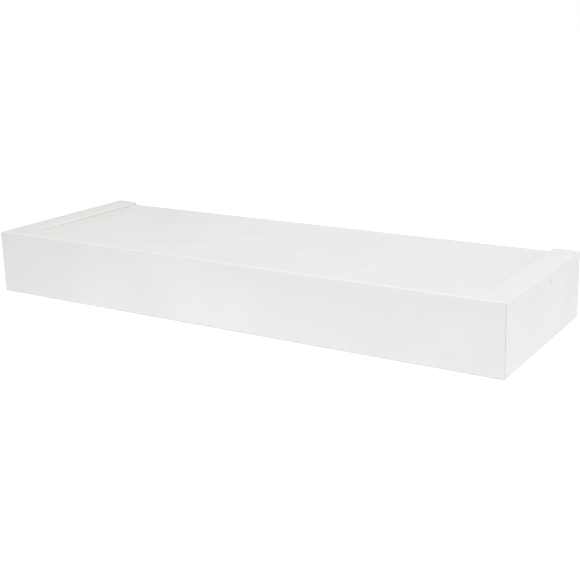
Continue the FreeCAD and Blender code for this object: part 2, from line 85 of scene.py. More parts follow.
def cells(size_mm):
    """Scale of a noise texture whose cells are this many millimetres across."""
    return 1 / (size_mm * MM)


def long_cells(*sizes_mm):
    """Scales along X, Y and Z that make a cell this many millimetres long each way."""
    return [cells(size) for size in sizes_mm]


def bands(spacing_mm):
    """Scale of a wave texture whose bands are this many millimetres apart."""
    return math.pi / 10 / (spacing_mm * MM)


def connect(tree, node, sockets):
    """Link a node's sockets to the outputs given for them, or set them to the values."""
    for socket, source in sockets.items():
        if isinstance(source, bpy.types.NodeSocket):
            tree.links.new(source, node.inputs[socket])
        else:
            node.inputs[socket].default_value = source


def add(tree, kind, sockets, output=0, **settings):
    """Add one shader node with its settings and links, and give back one of its outputs.

    The sockets are a dict, or a list in the node's own order.
    """
    node = tree.nodes.new(f"ShaderNode{kind}")
    for name, choice in settings.items():
        setattr(node, name, choice)
    connect(tree, node, sockets if isinstance(sockets, dict) else dict(enumerate(sockets)))
    return node.outputs[output]


# A MapRange node's list is a value, the range it comes from and the range it goes to, which
# is 0 to 1 where the list doesn't say. This setting makes the change smooth.
SMOOTH = {"interpolation_type": "SMOOTHSTEP"}
# A Mix node of two colours takes its share in socket 0. These are its other sockets.
COLOURS = {"data_type": "RGBA"}
FROM, TO, MIXED = 6, 7, 2


def start_material(name):
    """New material, its node tree and shader, and the place of a point in the row frame."""
    material = bpy.data.materials.new(name)
    material.use_nodes = True
    tree = material.node_tree
    place = add(tree, "TexCoord", {}, "Object")
    return material, tree, tree.nodes["Principled BSDF"], place


# ---------------------------------------------------------------- paint and board
PAINT = colour("#ECEBE9")
PAINT_THICK = colour("#EAE9E7")
PAINT_RUBBED = colour("#E6E5E2")
# Painted highlight, whiter than the paint, on the upper edges, the ends' lips and beside the step.
PAINTED_HIGHLIGHT = colour("#F3F2F0")
# A fainter painted highlight on the ends' upper edges.
PAINTED_FAINT_HIGHLIGHT = colour("#EEEDEB")
# Painted shade, darker than the paint, on the lower edges.
PAINTED_EDGE_SHADE = colour("#D6D5D2")
# Painted shade at the foot of the tray's step.
PAINTED_CORNER_SHADE = colour("#E4E3E1")
# Painted light in the mitre's hairline.
PAINTED_MITRE_LIGHT = colour("#F7F6F4")
PUTTY_SMEAR = colour("#E5E4E2")
RAW_MDF = colour("#B4946C")
RAW_MDF_DARK = colour("#8F6F4B")
# Painted shade darkens the lower edges out to this distance.
SHADED_EDGE_MM = 1.3
# The smear of putty fades out this far from its middle along X, Y and Z.
SMEAR_REACH = [reach * MM for reach in (20, 8, 4.2)]


def distance_from_outside(tree, place):
    """Distances of a point of the shelf from its outer end, front, and top or underside."""
    along = add(tree, "SeparateXYZ", [place], "X")
    out = along.node.outputs["Y"]
    up = along.node.outputs["Z"]
    off_centre = add(tree, "Math", [along], operation="ABSOLUTE")
    from_end = add(tree, "Math", [HALF_LENGTH, off_centre], operation="SUBTRACT")
    from_front = add(tree, "Math", [out, FRONT], operation="SUBTRACT")
    off_middle = add(tree, "Math", [up], operation="ABSOLUTE")
    from_level = add(tree, "Math", [HALF_HEIGHT, off_middle], operation="SUBTRACT")
    return from_end, from_front, from_level


def paint_edge_highlight_and_shade(tree, place, film, upper_highlight, upper_width_mm, upper_drop_mm):
    """Painted highlight on the outer upper edges, and painted shade on the lower ones.

    The painted highlight reaches this far across the top, and this far down the side.
    """
    from_end, from_front, from_level = distance_from_outside(tree, place)
    from_side = add(tree, "Math", [from_end, from_front], operation="MINIMUM")
    up = add(tree, "SeparateXYZ", [place], "Z")
    above = add(tree, "Math", [up, 0.0], operation="GREATER_THAN")
    below = add(tree, "Math", [1.0, above], operation="SUBTRACT")
    # Painted highlight along the upper edges, and painted shade along the lower ones.
    edges = ((above, upper_highlight, upper_width_mm, upper_drop_mm),
             (below, PAINTED_EDGE_SHADE, SHADED_EDGE_MM, SHADED_EDGE_MM))
    for share, paint, width_mm, drop_mm in edges:
        for distance, reach_mm in ((from_side, width_mm), (from_level, drop_mm)):
            near = add(tree, "MapRange", [distance, 0.6 * reach_mm * MM, reach_mm * MM, 1.0, 0.0],
                       **SMOOTH)
            share = add(tree, "Math", [share, near], operation="MULTIPLY")
        film = add(tree, "Mix", {0: share, FROM: film, TO: paint}, MIXED, **COLOURS)
    return film


def paint_step_light_and_shade(tree, place, film, lip_highlight):
    """Painted light and shade round the tray's step.

    A painted highlight on the lip, painted shade at the wall's foot towards the rear, and painted
    light on the panel beside it, which lifts its shade.
    """
    from_end, from_front, from_level = distance_from_outside(tree, place)
    inward = add(tree, "Math", [from_end, from_front], operation="MINIMUM")
    high = add(tree, "MapRange", [from_level, 1.7 * MM, 2.2 * MM, 1.0, 0.0], **SMOOTH)
    low = add(tree, "Math", [1.0, high], operation="SUBTRACT")
    # Painted highlight on the lip of the step.
    on_lip = add(tree, "MapRange", [inward, BAND - 0.5 * MM, BAND - 0.1 * MM], **SMOOTH)
    lip = add(tree, "Math", [on_lip, high], operation="MULTIPLY")
    film = add(tree, "Mix", {0: lip, FROM: film, TO: lip_highlight}, MIXED, **COLOURS)

    # Painted shade at the wall's foot, towards the rear.
    on_wall = add(tree, "MapRange", [inward, BAND - 0.6 * MM, BAND - 0.1 * MM], **SMOOTH)
    before_panel = add(tree, "MapRange", [inward, BAND + 0.2 * MM, BAND + 0.5 * MM, 1.0, 0.0],
                       **SMOOTH)
    to_rear = add(tree, "MapRange", [from_front, 60 * MM, 130 * MM], **SMOOTH)
    foot = on_wall
    for share in (before_panel, low, to_rear):
        foot = add(tree, "Math", [foot, share], operation="MULTIPLY")
    film = add(tree, "Mix", {0: foot, FROM: film, TO: PAINTED_CORNER_SHADE}, MIXED, **COLOURS)

    # Painted light on the panel beside the wall, which lifts its shade.
    on_panel = add(tree, "Math", [1.0, before_panel], operation="SUBTRACT")
    beside = add(tree, "MapRange", [inward, BAND + 2.4 * MM, BAND + 3.6 * MM, 1.0, 0.0], **SMOOTH)
    painted_light_beside = add(tree, "Math", [on_panel, beside], operation="MULTIPLY")
    return add(tree, "Mix", {0: painted_light_beside, FROM: film, TO: PAINTED_HIGHLIGHT}, MIXED, **COLOURS)


def paint_mitre_light(tree, place, film):
    """Painted light, whiter than the paint, in the hairline of the mitre, which lifts its shade.
    """
    from_end, from_front, from_level = distance_from_outside(tree, place)
    across = add(tree, "Math", [from_end, from_front], operation="SUBTRACT")
    off_mitre = add(tree, "Math", [across], operation="ABSOLUTE")
    inward = add(tree, "Math", [from_end, from_front], operation="MINIMUM")
    share = add(tree, "MapRange", [off_mitre, 0.40 * MM, 0.55 * MM, 1.0, 0.0], **SMOOTH)
    outer = add(tree, "MapRange", [inward, 1.6 * MM, 2 * MM, 1.0, 0.0], **SMOOTH)
    upright = add(tree, "MapRange", [from_level, 1 * MM, 2 * MM], **SMOOTH)
    for limit in (outer, upright):
        share = add(tree, "Math", [share, limit], operation="MULTIPLY")
    return add(tree, "Mix", {0: share, FROM: film, TO: PAINTED_MITRE_LIGHT}, MIXED, **COLOURS)


def wiped_putty(tree, place, film):
    """Greyer smear where the putty over the upper right nail was wiped along the board."""
    middle = (filler_high.x, NAIL_LINE, NAIL_UP - 0.8 * MM)
    around = add(tree, "Mapping", {"Vector": place,
                                   "Scale": [1 / reach for reach in SMEAR_REACH],
                                   "Location": [-side / reach
                                                for side, reach in zip(middle, SMEAR_REACH)]})
    away = add(tree, "VectorMath", [around], "Value", operation="LENGTH")
    share = add(tree, "MapRange", [away, 0.2, 1.0, 0.9, 0.0], **SMOOTH)
    return add(tree, "Mix", {0: share, FROM: film, TO: PUTTY_SMEAR}, MIXED, **COLOURS)


def bare_inside(tree, place):
    """1 where the spray gun doesn't reach: the cavity and the edges that stand on the wall."""
    from_end, from_front, from_level = distance_from_outside(tree, place)
    # The paint ends in a ragged line, which wanders by up to 6 mm.
    depth = add(tree, "TexNoise", {"Vector": place, "Scale": cells(9), "Detail": 3.0})
    ragged = add(tree, "Math", [depth, 6 * MM], operation="MULTIPLY")
    behind_panel = HALF_HEIGHT - PANEL_BACK
    cavity = add(tree, "MapRange", [from_level, behind_panel - 0.6 * MM,
                                    behind_panel - 0.3 * MM], **SMOOTH)
    for distance in (from_end, from_front):
        reached = add(tree, "Math", [distance, ragged], operation="SUBTRACT")
        behind_rail = add(tree, "MapRange", [reached, 22 * MM, 25 * MM], **SMOOTH)
        cavity = add(tree, "Math", [cavity, behind_rail], operation="MULTIPLY")
    out = add(tree, "SeparateXYZ", [place], "Y")
    wall_edge = add(tree, "MapRange", [out, -0.5 * MM, -0.1 * MM], **SMOOTH)
    nearest = add(tree, "Math", [from_end, from_level], operation="MINIMUM")
    overspray = add(tree, "Math", [nearest, ragged], operation="SUBTRACT")
    beyond_spray = add(tree, "MapRange", [overspray, -1 * MM, 4 * MM], **SMOOTH)
    bare_edge = add(tree, "Math", [wall_edge, beyond_spray], operation="MULTIPLY")
    return add(tree, "Math", [cavity, bare_edge], operation="MAXIMUM")


def sprayed_mdf(name, streak_mm, upper_edge_highlight, lip_highlight):
    """MDF sprayed with satin white lacquer and rubbed down between coats.

    The film levels almost flat, so the eye sees an even, slightly warm white with a soft sheen,
    faint streaks of the sanding along the board and a fine orange peel. A painted highlight runs
    on the upper edges and on the ends' lips, painted shade on the lower edges and at the foot of
    the tray's step, and painted light beside the step and in the mitre. The edges that meet the
    wall and the inside of the box stay bare, brown and woolly.
    """
    material, tree, shader, place = start_material(name)

    # The tone of the film drifts over about 80 mm.
    drift = add(tree, "TexNoise", {"Vector": place, "Scale": cells(80), "Detail": 2.0})
    thicker = add(tree, "MapRange", [drift, 0.35, 0.65], **SMOOTH)
    film = add(tree, "Mix", {0: thicker, FROM: PAINT, TO: PAINT_THICK}, MIXED, **COLOURS)
    # Sanding scratches are about 0.1 mm wide. They are drawn as streaks of 3.5 mm, which show.
    streak_place = add(tree, "Mapping", {"Vector": place, "Scale": long_cells(*streak_mm)})
    streaks = add(tree, "TexNoise", {"Vector": streak_place, "Scale": 1.0, "Detail": 3.0})
    rubbed = add(tree, "MapRange", [streaks, 0.5, 0.8, 0.0, 0.5], **SMOOTH)
    film = add(tree, "Mix", {0: rubbed, FROM: film, TO: PAINT_RUBBED}, MIXED, **COLOURS)
    # Painted highlight on the upper edges, painted shade on the lower ones, painted light and
    # shade at the step, and painted light in the mitre's hairline.
    film = paint_edge_highlight_and_shade(tree, place, film, *upper_edge_highlight)
    film = paint_step_light_and_shade(tree, place, film, lip_highlight)
    film = paint_mitre_light(tree, place, film)
    film = wiped_putty(tree, place, film)

    # Fibres are about 0.1 mm thick. They are drawn 0.8 mm thick, so that they show.
    fibre_place = add(tree, "Mapping", {"Vector": place, "Scale": long_cells(2.4, 2.4, 0.8)})
    fibres = add(tree, "TexNoise", {"Vector": fibre_place, "Scale": 1.0, "Detail": 5.0})
    darker = add(tree, "MapRange", [fibres, 0.35, 0.7], **SMOOTH)
    board = add(tree, "Mix", {0: darker, FROM: RAW_MDF, TO: RAW_MDF_DARK}, MIXED, **COLOURS)
    bare = bare_inside(tree, place)
    surface = add(tree, "Mix", {0: bare, FROM: film, TO: board}, MIXED, **COLOURS)

    sheen = add(tree, "MapRange", [drift, 0.3, 0.7, 0.40, 0.47], **SMOOTH)
    roughness = add(tree, "Math", [bare, 0.4, sheen], operation="MULTIPLY_ADD")

    # Orange peel has cells of about 1.5 mm and a hundredth of a millimetre of relief. The board
    # under the film waves over about 24 mm, by a tenth.
    peel = add(tree, "TexNoise", {"Vector": place, "Scale": cells(1.5), "Detail": 1.0})
    waves = add(tree, "TexNoise", {"Vector": place, "Scale": cells(24), "Detail": 1.0})
    wool = add(tree, "Math", [fibres, bare], operation="MULTIPLY")
    relief = add(tree, "Bump", {"Height": waves, "Distance": 0.12 * MM})
    for height, depth_mm in ((streaks, 0.012), (peel, 0.012), (wool, 0.12)):
        relief = add(tree, "Bump", {"Height": height, "Distance": depth_mm * MM, "Normal": relief})
    connect(tree, shader, {"Base Color": surface, "Roughness": roughness, "IOR": 1.5,
                           "Normal": relief})
    return material


def sanded_putty(name, light, dark):
    """Filler rubbed flush over a nail and sprayed with the boards.

    It takes the lacquer a little duller and greyer than the board, so it shows as a small spot.
    """
    material, tree, shader, place = start_material(name)
    # The filler's grit is about 0.1 mm across. It is drawn 0.6 mm, so that it shows.
    grain = add(tree, "TexNoise", {"Vector": place, "Scale": cells(0.6), "Detail": 3.0})
    film = add(tree, "Mix", {0: grain, FROM: colour(light), TO: colour(dark)}, MIXED, **COLOURS)
    relief = add(tree, "Bump", {"Height": grain, "Distance": 0.04 * MM})
    connect(tree, shader, {"Base Color": film, "Roughness": 0.55, "IOR": 1.5, "Normal": relief})
    return material


# ---------------------------------------------------------------- wood
def planed_pine(name, heart):
    """Planed pine, bare.

    Pale spring wood with darker autumn rings about 5 mm apart. The heart of the tree runs a few
    degrees out of line with the board, so the plane cuts the rings to long flames on the faces
    and to arcs on the end grain, and leaves a dull, slightly furry surface.
    """
    material, tree, shader, place = start_material(name)
    run_out = (0, math.radians(2.5), math.radians(5))
    from_heart = add(tree, "Mapping", {"Vector": place, "Location": [-side for side in heart],
                                       "Rotation": run_out})
    # The rings wander by up to 16 mm over about 180 mm of the trunk.
    wander_place = add(tree, "Mapping", {"Vector": place, "Scale": long_cells(180, 30, 30)})
    wander = add(tree, "TexNoise", {"Vector": wander_place, "Scale": 1.0, "Detail": 2.0}, "Color")
    swayed = add(tree, "VectorMath", [wander, (16 * MM,) * 3, from_heart],
                 operation="MULTIPLY_ADD")
    growth = add(tree, "TexWave", {"Vector": swayed, "Scale": bands(5), "Distortion": 0.8,
                                   "Detail": 2.0, "Detail Scale": 1.5},
                 wave_type="RINGS", rings_direction="X", wave_profile="SAW")
    late = add(tree, "MapRange", [growth, 0.35, 0.98], **SMOOTH)
    # The late wood of some years is broad and dark, and that of others is a thin line.
    year_place = add(tree, "Mapping", {"Vector": swayed, "Scale": long_cells(900, 14, 14)})
    years = add(tree, "TexNoise", {"Vector": year_place, "Scale": 1.0, "Detail": 1.0})
    strength = add(tree, "MapRange", [years, 0.35, 0.65, 0.35, 1.0], **SMOOTH)
    autumn = add(tree, "Math", [late, strength], operation="MULTIPLY")
    wood = add(tree, "Mix", {0: autumn, FROM: colour("#E3C08C"), TO: colour("#B98347")}, MIXED,
               **COLOURS)
    # Fibres are about 0.04 mm wide. They are drawn 0.5 mm wide, so that they show.
    fibre_place = add(tree, "Mapping", {"Vector": place, "Scale": long_cells(40, 0.5, 0.5)})
    fibres = add(tree, "TexNoise", {"Vector": fibre_place, "Scale": 1.0, "Detail": 3.0})
    torn = add(tree, "MapRange", [fibres, 0.4, 0.75, 0.0, 0.35], **SMOOTH)
    wood = add(tree, "Mix", {0: torn, FROM: wood, TO: colour("#C49A62")}, MIXED, **COLOURS)
    relief = add(tree, "Bump", {"Height": fibres, "Distance": 0.05 * MM})
    relief = add(tree, "Bump", {"Height": autumn, "Distance": 0.03 * MM, "Normal": relief})
    connect(tree, shader, {"Base Color": wood, "Roughness": 0.62, "Normal": relief})
    return material


def turned_beech():
    """Beech dowel rod, turned and fluted.

    Even pinkish brown with short dark flecks along the grain.
    """
    material, tree, shader, place = start_material("turned_beech")
    # Ray flecks are about 0.4 mm wide, and are drawn 0.9 mm long.
    fleck_place = add(tree, "Mapping", {"Vector": place, "Scale": long_cells(0.9, 0.9, 0.4)})
    flecks = add(tree, "TexNoise", {"Vector": fleck_place, "Scale": 1.0, "Detail": 2.0})
    darker = add(tree, "MapRange", [flecks, 0.5, 0.75], **SMOOTH)
    wood = add(tree, "Mix", {0: darker, FROM: colour("#D3A579"), TO: colour("#A8764B")}, MIXED,
               **COLOURS)
    relief = add(tree, "Bump", {"Height": flecks, "Distance": 0.03 * MM})
    connect(tree, shader, {"Base Color": wood, "Roughness": 0.5, "Normal": relief})
    return material


# ---------------------------------------------------------------- metal
def powder_coated_steel():
    """Mild steel with a fine black powder coat, baked.

    Charcoal rather than black, with a pebbled skin that breaks the reflection up. Where the
    shelf slides on the rods, the coat is burnished to long shiny scratches.
    """
    material, tree, shader, place = start_material("powder_coated_steel")
    # The pebbles are about 0.4 mm across. They are drawn 0.7 mm, so that they show.
    pebbles = add(tree, "TexNoise", {"Vector": place, "Scale": cells(0.7), "Detail": 2.0})
    raised = add(tree, "MapRange", [pebbles, 0.35, 0.7], **SMOOTH)
    coat = add(tree, "Mix", {0: raised, FROM: colour("#232324"), TO: colour("#343536")}, MIXED,
               **COLOURS)
    # The bores leave scratches up to 70 mm long. They are drawn 0.9 mm wide, so that they show.
    scratch_place = add(tree, "Mapping", {"Vector": place, "Scale": long_cells(0.9, 70, 0.9)})
    scratches = add(tree, "TexNoise", {"Vector": scratch_place, "Scale": 1.0, "Detail": 1.0})
    scratched = add(tree, "MapRange", [scratches, 0.6, 0.8], **SMOOTH)
    out = add(tree, "SeparateXYZ", [place], "Y")
    on_rods = add(tree, "MapRange", [out, -14 * MM, -8 * MM, 1.0, 0.0], **SMOOTH)
    burnished = add(tree, "Math", [scratched, on_rods], operation="MULTIPLY")
    coat = add(tree, "Mix", {0: burnished, FROM: coat, TO: colour("#48494B")}, MIXED, **COLOURS)
    pebbled = add(tree, "MapRange", [pebbles, 0.3, 0.7, 0.42, 0.55], **SMOOTH)
    roughness = add(tree, "Math", [burnished, -0.2, pebbled], operation="MULTIPLY_ADD")
    relief = add(tree, "Bump", {"Height": pebbles, "Distance": 0.05 * MM})
    connect(tree, shader, {"Base Color": coat, "Roughness": roughness, "IOR": 1.5,
                           "Normal": relief})
    return material


def bright_zinc():
    """Rolled steel screw, zinc plated and passivated.

    Cold bluish silver with soft cloudy patches a few millimetres across.
    """
    material, tree, shader, place = start_material("bright_zinc")
    clouds = add(tree, "TexNoise", {"Vector": place, "Scale": cells(2.5), "Detail": 4.0})
    plating = add(tree, "Mix", {0: clouds, FROM: colour("#C9CDD2"), TO: colour("#AEB4BD")}, MIXED,
                  **COLOURS)
    roughness = add(tree, "MapRange", [clouds, 0.3, 0.7, 0.22, 0.38], **SMOOTH)
    relief = add(tree, "Bump", {"Height": clouds, "Distance": 0.02 * MM})
    connect(tree, shader, {"Base Color": plating, "Metallic": 1.0, "Roughness": roughness,
                           "Normal": relief})
    return material


def black_oxide_steel():
    """Hardened steel set screw, blacked and oiled.

    Blue-black and semi-matt, with a paler bloom in patches of about 1 mm where the oil dried.
    """
    material, tree, shader, place = start_material("black_oxide_steel")
    bloom = add(tree, "TexNoise", {"Vector": place, "Scale": cells(1.2), "Detail": 3.0})
    oxide = add(tree, "Mix", {0: bloom, FROM: colour("#2B2C30"), TO: colour("#3E3F44")}, MIXED,
                **COLOURS)
    roughness = add(tree, "MapRange", [bloom, 0.3, 0.7, 0.32, 0.48], **SMOOTH)
    relief = add(tree, "Bump", {"Height": bloom, "Distance": 0.015 * MM})
    connect(tree, shader, {"Base Color": oxide, "Metallic": 1.0, "Roughness": roughness,
                           "Normal": relief})
    return material


def turned_brass():
    """Free-cutting brass, turned.

    Yellow metal with fine rings of the tool on its face, and tarnish in patches of 3 mm.
    """
    material, tree, shader, place = start_material("turned_brass")
    tarnish = add(tree, "TexNoise", {"Vector": place, "Scale": cells(3), "Detail": 3.0})
    metal = add(tree, "Mix", {0: tarnish, FROM: colour("#D9B061"), TO: colour("#C0944A")}, MIXED,
                **COLOURS)
    roughness = add(tree, "MapRange", [tarnish, 0.3, 0.7, 0.24, 0.36], **SMOOTH)
    # The tool's feed is about 0.1 mm. Its marks are drawn 0.3 mm apart, so that they show.
    mark_place = add(tree, "Mapping", {"Vector": place, "Scale": long_cells(3, 3, 0.3)})
    tool_marks = add(tree, "TexNoise", {"Vector": mark_place, "Scale": 1.0, "Detail": 1.0})
    relief = add(tree, "Bump", {"Height": tool_marks, "Distance": 0.015 * MM})
    connect(tree, shader, {"Base Color": metal, "Metallic": 1.0, "Roughness": roughness,
                           "Normal": relief})
    return material


def drawn_wire():
    """Bright drawn steel wire.

    Grey metal with scratches of the die along it.
    """
    material, tree, shader, place = start_material("drawn_wire")
    # The scratches are finer than 0.05 mm. They are drawn 0.25 mm wide, so that they show.
    line_place = add(tree, "Mapping", {"Vector": place, "Scale": long_cells(20, 0.25, 0.25)})
    draw_lines = add(tree, "TexNoise", {"Vector": line_place, "Scale": 1.0, "Detail": 2.0})
    metal = add(tree, "Mix", {0: draw_lines, FROM: colour("#B9BABB"), TO: colour("#8F9193")},
                MIXED, **COLOURS)
    roughness = add(tree, "MapRange", [draw_lines, 0.3, 0.7, 0.25, 0.4], **SMOOTH)
    relief = add(tree, "Bump", {"Height": draw_lines, "Distance": 0.01 * MM})
    connect(tree, shader, {"Base Color": metal, "Metallic": 1.0, "Roughness": roughness,
                           "Normal": relief})
    return material


# ---------------------------------------------------------------- dress the pieces of the frame
def dress(material, *node_names):
    """Give these nodes of the frame their material."""
    for name in node_names:
        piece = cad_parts[name]
        piece.data.materials.clear()
        piece.data.materials.append(material)


# The front gets a painted highlight on its upper edges. The ends get a fainter one, and a painted
# highlight on their lips.
lengthways_paint = sprayed_mdf("sprayed_mdf_lengthways", (160, 3.5, 3.5),
                               (PAINTED_HIGHLIGHT, 4.6, 1.2), PAINT)
crossways_paint = sprayed_mdf("sprayed_mdf_crossways", (3.5, 160, 3.5),
                              (PAINTED_FAINT_HIGHLIGHT, 1.9, 1.9), PAINTED_HIGHLIGHT)
putty = sanded_putty("sanded_putty", "#EAE9E6", "#E6E5E2")
sunk_putty = sanded_putty("sanded_putty_sunk", "#E8E7E5", "#E3E2E0")
beech = turned_beech()
black_coat = powder_coated_steel()
zinc = bright_zinc()
blacking = black_oxide_steel()
brass = turned_brass()

dress(lengthways_paint, "front_rail", "top_panel", "bottom_panel")
dress(crossways_paint, "left_end_rail", "right_end_rail")
# Each board was sawn from another place beside the heart of its tree.
dress(planed_pine("pine_rear_batten", (0, -0.010, -0.045)), "rear_batten")
dress(planed_pine("pine_inner_batten", (0, -0.160, 0.038)), "inner_batten")
dress(planed_pine("pine_corner_block", (0, -0.150, -0.030)),
      "corner_block_left", "corner_block_right")
dress(drawn_wire(), "brads")
dress(black_coat, "wall_plate")


# ---------------------------------------------------------------- mesh helpers
# Steps round a turned piece: 96 puts one on every corner of a hexagon and of a cross recess.
ROUND = 96
THREAD_ROUND = 48


def level(radius, height):
    """Plain round ring of a turned piece, in millimetres."""
    return lambda angle: (radius, height)


def shell(shape, place, rings, steps=ROUND):
    """Skin over rings about Z. A ring gives the radius and height in mm at an angle."""
    rows = []
    for ring in rings:
        row = []
        for step in range(steps):
            angle = 2 * math.pi * step / steps
            radius, height = ring(angle)
            corner = Vector((radius * math.cos(angle), radius * math.sin(angle), height))
            row.append(shape.verts.new(place @ (corner * MM)))
        rows.append(row)
    join_rows(shape, rows, closed=True)


def join_rows(shape, rows, closed):
    """Quads between neighbouring rows of points."""
    for row, following in zip(rows, rows[1:]):
        for step in range(len(row) if closed else len(row) - 1):
            after = (step + 1) % len(row)
            shape.faces.new((row[step], row[after], following[after], following[step]))


def thread(shape, place, start, end, pitch, profile, radius_at):
    """Helical skin about Z in millimetres.

    The profile is (share of the pitch, share of the depth), and radius_at gives the radius for
    a height and a share of the depth.
    """
    columns = []
    for step in range(math.ceil((end - start) / pitch + 1) * THREAD_ROUND + 1):
        angle = 2 * math.pi * step / THREAD_ROUND
        column = []
        for share, depth in profile:
            height = start + pitch * (step / THREAD_ROUND + share - 1)
            height = min(max(height, start), end)
            radius = radius_at(height, depth)
            corner = Vector((radius * math.cos(angle), radius * math.sin(angle), height))
            column.append(shape.verts.new(place @ (corner * MM)))
        columns.append(column)
    join_rows(shape, columns, closed=False)


def run_in(root, crest, start, end, fade):
    """Radius of a thread that grows out of its root over the fade's length at each end."""
    def radius_at(height, depth):
        grown = min(1.0, (height - start) / fade, (end - height) / fade)
        return root + (crest - root) * depth * grown
    return radius_at


def hexagon(width, height):
    """Six-sided ring, this wide across its flats."""
    def ring(angle):
        from_flat = (angle + math.pi / 6) % (math.pi / 3) - math.pi / 6
        return width / 2 / math.cos(from_flat), height
    return ring


def cross_radius(angle, reach, half_width):
    """Distance from the middle to the edge of a cross with four equal arms."""
    arms = []
    for direction in (angle, angle + math.pi / 2):
        along, across = abs(math.cos(direction)), abs(math.sin(direction))
        arms.append(min(reach / max(along, 1e-9), half_width / max(across, 1e-9)))
    return max(arms)


def add_piece(shape, name, body, material, replaced, sharp_degrees=32):
    """Turn a finished shape into a piece that rides on its body and stands for a node."""
    bmesh.ops.remove_doubles(shape, verts=shape.verts, dist=0.002 * MM)
    bmesh.ops.recalc_face_normals(shape, faces=shape.faces)
    mesh = bpy.data.meshes.new(name)
    shape.to_mesh(mesh)
    shape.free()
    for face in mesh.polygons:
        face.use_smooth = True
    mesh.set_sharp_from_angle(angle=math.radians(sharp_degrees))
    mesh.materials.append(material)
    piece = bpy.data.objects.new(name, mesh)
    bpy.context.scene.collection.objects.link(piece)
    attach(piece, body)
    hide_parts(replaced)


# ---------------------------------------------------------------- screws and bushes
# Wall screw, 4.5 by 40 mm: heights run from the wall's face into the wall.
HEAD_RADIUS = 4.5
DOME_EDGE = 4.44
DOME_RADIUS = 4.875
NECK_RADIUS = 2.0
ROOT_RADIUS = 1.6
BLADE_DEPTH = 0.65
BLADE_PITCH = 2.2
POINT_START = 30.5
THREAD_END = 36.2
RECESS_REACH = 2.5
RECESS_HALF_WIDTH = 0.5
SCREW_ACROSS = wall_screw_high.x - HEAD_RADIUS * MM
SCREW_UP = wall_screw_high.z - HEAD_RADIUS * MM
SCREW_TOP = wall_screw_low.y / MM
SCREW_TIP = wall_screw_high.y / MM
# Wood screws have thin blades with a wide root between them.
BLADE_THREAD = ((0.0, 0.0), (0.30, 0.0), (0.46, 1.0), (0.54, 1.0), (0.70, 0.0), (1.0, 0.0))
# A metric thread is a plain V with a narrow flat on its crest.
METRIC_THREAD = ((0.0, 0.0), (0.43, 1.0), (0.57, 1.0), (1.0, 0.0))
# Set screw, M6 by 25 mm, with a socket for a 3 mm key.
SET_CREST = 3.0
SET_ROOT = 2.39
SET_PITCH = 1.0
KEY_WIDTH = 3.0
# Bush for wood, with an M6 bore and a mouth for a 6 mm key.
BUSH_CREST = 4.5
BUSH_ROOT = 4.05
BUSH_PITCH = 2.4
BUSH_BORE = 3.08
BUSH_KEY_WIDTH = 6.16


def dome_height(radius):
    """Height of the head's dome over a point this far from its middle."""
    return SCREW_TOP + DOME_RADIUS - math.sqrt(DOME_RADIUS ** 2 - radius ** 2)


def dome_ring(share):
    """Ring on the dome between the mouth of the recess (0) and the rim of the head (1)."""
    def ring(angle):
        mouth = cross_radius(angle, RECESS_REACH, RECESS_HALF_WIDTH)
        radius = mouth + share * (DOME_EDGE - mouth)
        return radius, dome_height(radius)
    return ring


def recess_ring(reach, half_width, height):
    """Ring inside the cross recess, which narrows as it goes down."""
    return lambda angle: (cross_radius(angle, reach, half_width), height)


def screw_radius(height, depth):
    """Radius of the wall screw's thread: it grows behind the neck and runs out on the point."""
    pointed = min(1.0, max(0.0, (height - POINT_START) / (THREAD_END - POINT_START)))
    root = ROOT_RADIUS - 1.3 * pointed
    blade = BLADE_DEPTH * min(1.0, height / 1.5, (THREAD_END - height) / 4)
    return root + blade * depth


def make_wall_screws():
    """Pan head screws, 4.5 by 40 mm: domed head, cross recess, bladed thread and point."""
    shape = bmesh.new()
    for across in (-SCREW_ACROSS, SCREW_ACROSS):
        for up in (-SCREW_UP, SCREW_UP):
            place = Matrix.Translation((across, 0, up)) @ INTO_WALL
            head = [level(0, -3.9), recess_ring(0.9, 0.30, -4.0), recess_ring(2.1, 0.38, -4.4),
                    recess_ring(2.42, 0.46, -5.5)]
            head += [dome_ring(share) for share in (0, 0.04, 0.25, 0.5, 0.75, 0.92, 1)]
            head += [level(HEAD_RADIUS, -3.35), level(4.42, -3.06), level(2.3, -3.0),
                     level(NECK_RADIUS, -2.7), level(NECK_RADIUS, -0.6), level(ROOT_RADIUS, 0)]
            shell(shape, place, head)
            thread(shape, place, 0, THREAD_END, BLADE_PITCH, BLADE_THREAD, screw_radius)
            tip = [level(screw_radius(THREAD_END, 0), THREAD_END), level(0.12, 36.8),
                   level(0, SCREW_TIP)]
            shell(shape, place, tip, THREAD_ROUND)
    add_piece(shape, "wall_screws_threaded", "bracket", zinc,
              "wall_screws")


def make_lock_screw(side_name, across):
    """Set screw: hexagon socket below, cup point above."""
    shape = bmesh.new()
    base, top = lock_low.z / MM, lock_high.z / MM
    place = Matrix.Translation((across, LOCK_LINE, 0))
    socket = [level(0, base + 4.3), hexagon(2.2, base + 3.7), hexagon(KEY_WIDTH, base + 3.5),
              hexagon(KEY_WIDTH, base + 0.3), hexagon(3.4, base), level(2.45, base),
              level(2.9, base + 0.5), level(2.3, base + 0.55)]
    shell(shape, place, socket)
    thread(shape, place, base, top, SET_PITCH, METRIC_THREAD,
           run_in(SET_ROOT, SET_CREST, base, top, 0.8))
    cup = [level(2.3, top - 0.55), level(2.9, top - 0.5), level(2.45, top), level(1.9, top),
           level(1.75, top - 0.15), level(0, top - 1.1)]
    shell(shape, place, cup)
    add_piece(shape, f"lock_screw_{side_name}_threaded", f"lock_screw_{side_name}",
              blacking, f"lock_screw_{side_name}")


